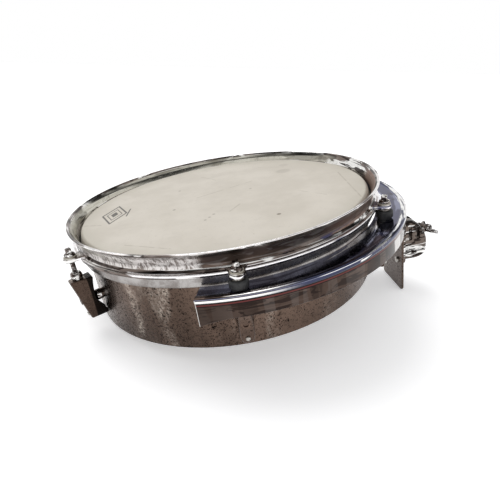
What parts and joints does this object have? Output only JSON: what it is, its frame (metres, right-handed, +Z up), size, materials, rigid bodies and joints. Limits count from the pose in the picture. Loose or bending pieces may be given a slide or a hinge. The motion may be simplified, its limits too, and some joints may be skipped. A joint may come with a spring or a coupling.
{
  "type": "timbale",
  "caption": "Shallow single-headed metal-shell drum with a flared counter hoop, key-tensioned head, and a rubber-isolated side mount with a wing-nut rod clamp.",
  "frame": {"origin": "centre of the base of the bounding box, on the surface that the drum rests on", "axes": "+Z up from the resting surface; +X level, towards the side mount; +Y level. The drum leans at its natural rest: its own axis is 9.36 degrees from +Z, towards -X, with the mount plate's lower edge and the far side of the shell's rim on the surface."},
  "size_m": [0.4824, 0.426, 0.1706],
  "materials": {
    "aged_shell_chrome": "tarnished chrome plate over steel, pitted",
    "aged_lug_chrome": "tarnished chrome plate, pitted",
    "coated_film": "sprayed matt coating over clear polyester film",
    "hoop_aluminium": "satin rolled channel",
    "resin": "cured casting resin",
    "hoop_chrome": "bright chrome plate over steel, light wear",
    "band_chrome": "bright chrome plate over steel",
    "grommet_rubber": "soft moulded rubber",
    "nylon": "moulded nylon",
    "gasket_fibre": "pressed fibre",
    "casting_chrome": "bright chrome plate over zinc casting",
    "clamp_chrome": "bright chrome plate, handled",
    "rod_chrome": "chrome plate over steel, darkened in the corners",
    "fastener_steel": "bright zinc plate"
  },
  "bodies": {
    "drum": {"bracket_body": "casting_chrome", "bracket_gasket": "gasket_fibre", "bracket_screws": "fastener_steel", "counter_hoop": "hoop_chrome", "eye_bolt": "clamp_chrome", "flesh_hoop": "hoop_aluminium", "grommet_sleeves": "fastener_steel", "grommet_washers": "fastener_steel", "head_film": "coated_film", "head_resin": "resin", "isolation_grommet_1": "grommet_rubber", "isolation_grommet_2": "grommet_rubber", "isolation_grommet_3": "grommet_rubber", "isolation_grommet_4": "grommet_rubber", "lug_body_1": "aged_lug_chrome", "lug_body_2": "aged_lug_chrome", "lug_body_3": "aged_lug_chrome", "lug_body_4": "aged_lug_chrome", "lug_body_5": "aged_lug_chrome", "lug_body_6": "aged_lug_chrome", "lug_bolt_washers": "fastener_steel", "lug_bolts": "fastener_steel", "lug_nut_1": "rod_chrome", "lug_nut_2": "rod_chrome", "lug_nut_3": "rod_chrome", "lug_nut_4": "rod_chrome", "lug_nut_5": "rod_chrome", "lug_nut_6": "rod_chrome", "lug_rivets": "fastener_steel", "lug_standoffs": "fastener_steel", "mount_plate": "band_chrome", "plate_bolts": "fastener_steel", "plate_nuts": "fastener_steel", "rod_nylon_washers": "nylon", "rod_steel_washers": "fastener_steel", "shell": "aged_shell_chrome", "suspension_band": "band_chrome"},
    "tension_rod_1": {"tension_rod_1": "rod_chrome"},
    "tension_rod_2": {"tension_rod_2": "rod_chrome"},
    "tension_rod_3": {"tension_rod_3": "rod_chrome"},
    "tension_rod_4": {"tension_rod_4": "rod_chrome"},
    "tension_rod_5": {"tension_rod_5": "rod_chrome"},
    "tension_rod_6": {"tension_rod_6": "rod_chrome"},
    "clamp_washer": {"wing_washer": "clamp_chrome"},
    "clamp_wing": {"wing_nut": "clamp_chrome"}
  },
  "joints": [
    {"name": "rod_1_turn", "type": "hinge", "parent": "drum", "child": "tension_rod_1", "pos_m": [-0.04881, -0.1985, 0.1201], "axis": [-0.1627, 0, 0.9867], "continuous": true},
    {"name": "rod_2_turn", "type": "hinge", "parent": "drum", "child": "tension_rod_2", "pos_m": [0.1208, -0.09925, 0.14807], "axis": [-0.1627, 0, 0.9867], "continuous": true},
    {"name": "rod_3_turn", "type": "hinge", "parent": "drum", "child": "tension_rod_3", "pos_m": [0.1208, 0.09925, 0.14807], "axis": [-0.1627, 0, 0.9867], "continuous": true},
    {"name": "rod_4_turn", "type": "hinge", "parent": "drum", "child": "tension_rod_4", "pos_m": [-0.04881, 0.1985, 0.1201], "axis": [-0.1627, 0, 0.9867], "continuous": true},
    {"name": "rod_5_turn", "type": "hinge", "parent": "drum", "child": "tension_rod_5", "pos_m": [-0.21843, 0.09925, 0.09213], "axis": [-0.1627, 0, 0.9867], "continuous": true},
    {"name": "rod_6_turn", "type": "hinge", "parent": "drum", "child": "tension_rod_6", "pos_m": [-0.21843, -0.09925, 0.09213], "axis": [-0.1627, 0, 0.9867], "continuous": true},
    {"name": "clamp_travel", "type": "slide", "parent": "drum", "child": "clamp_washer", "axis": [0.9867, 0, 0.1627], "range_m": [0, 0.0025]},
    {"name": "wing_turn", "type": "hinge", "parent": "clamp_washer", "child": "clamp_wing", "pos_m": [0.2254, 0, 0.07978], "axis": [0.9867, 0, 0.1627], "range_deg": [0, 720]}
  ],
  "couplings": [
    {"joint": "clamp_travel", "follows": "wing_turn", "m_per_rad": 0.00019894}
  ]
}
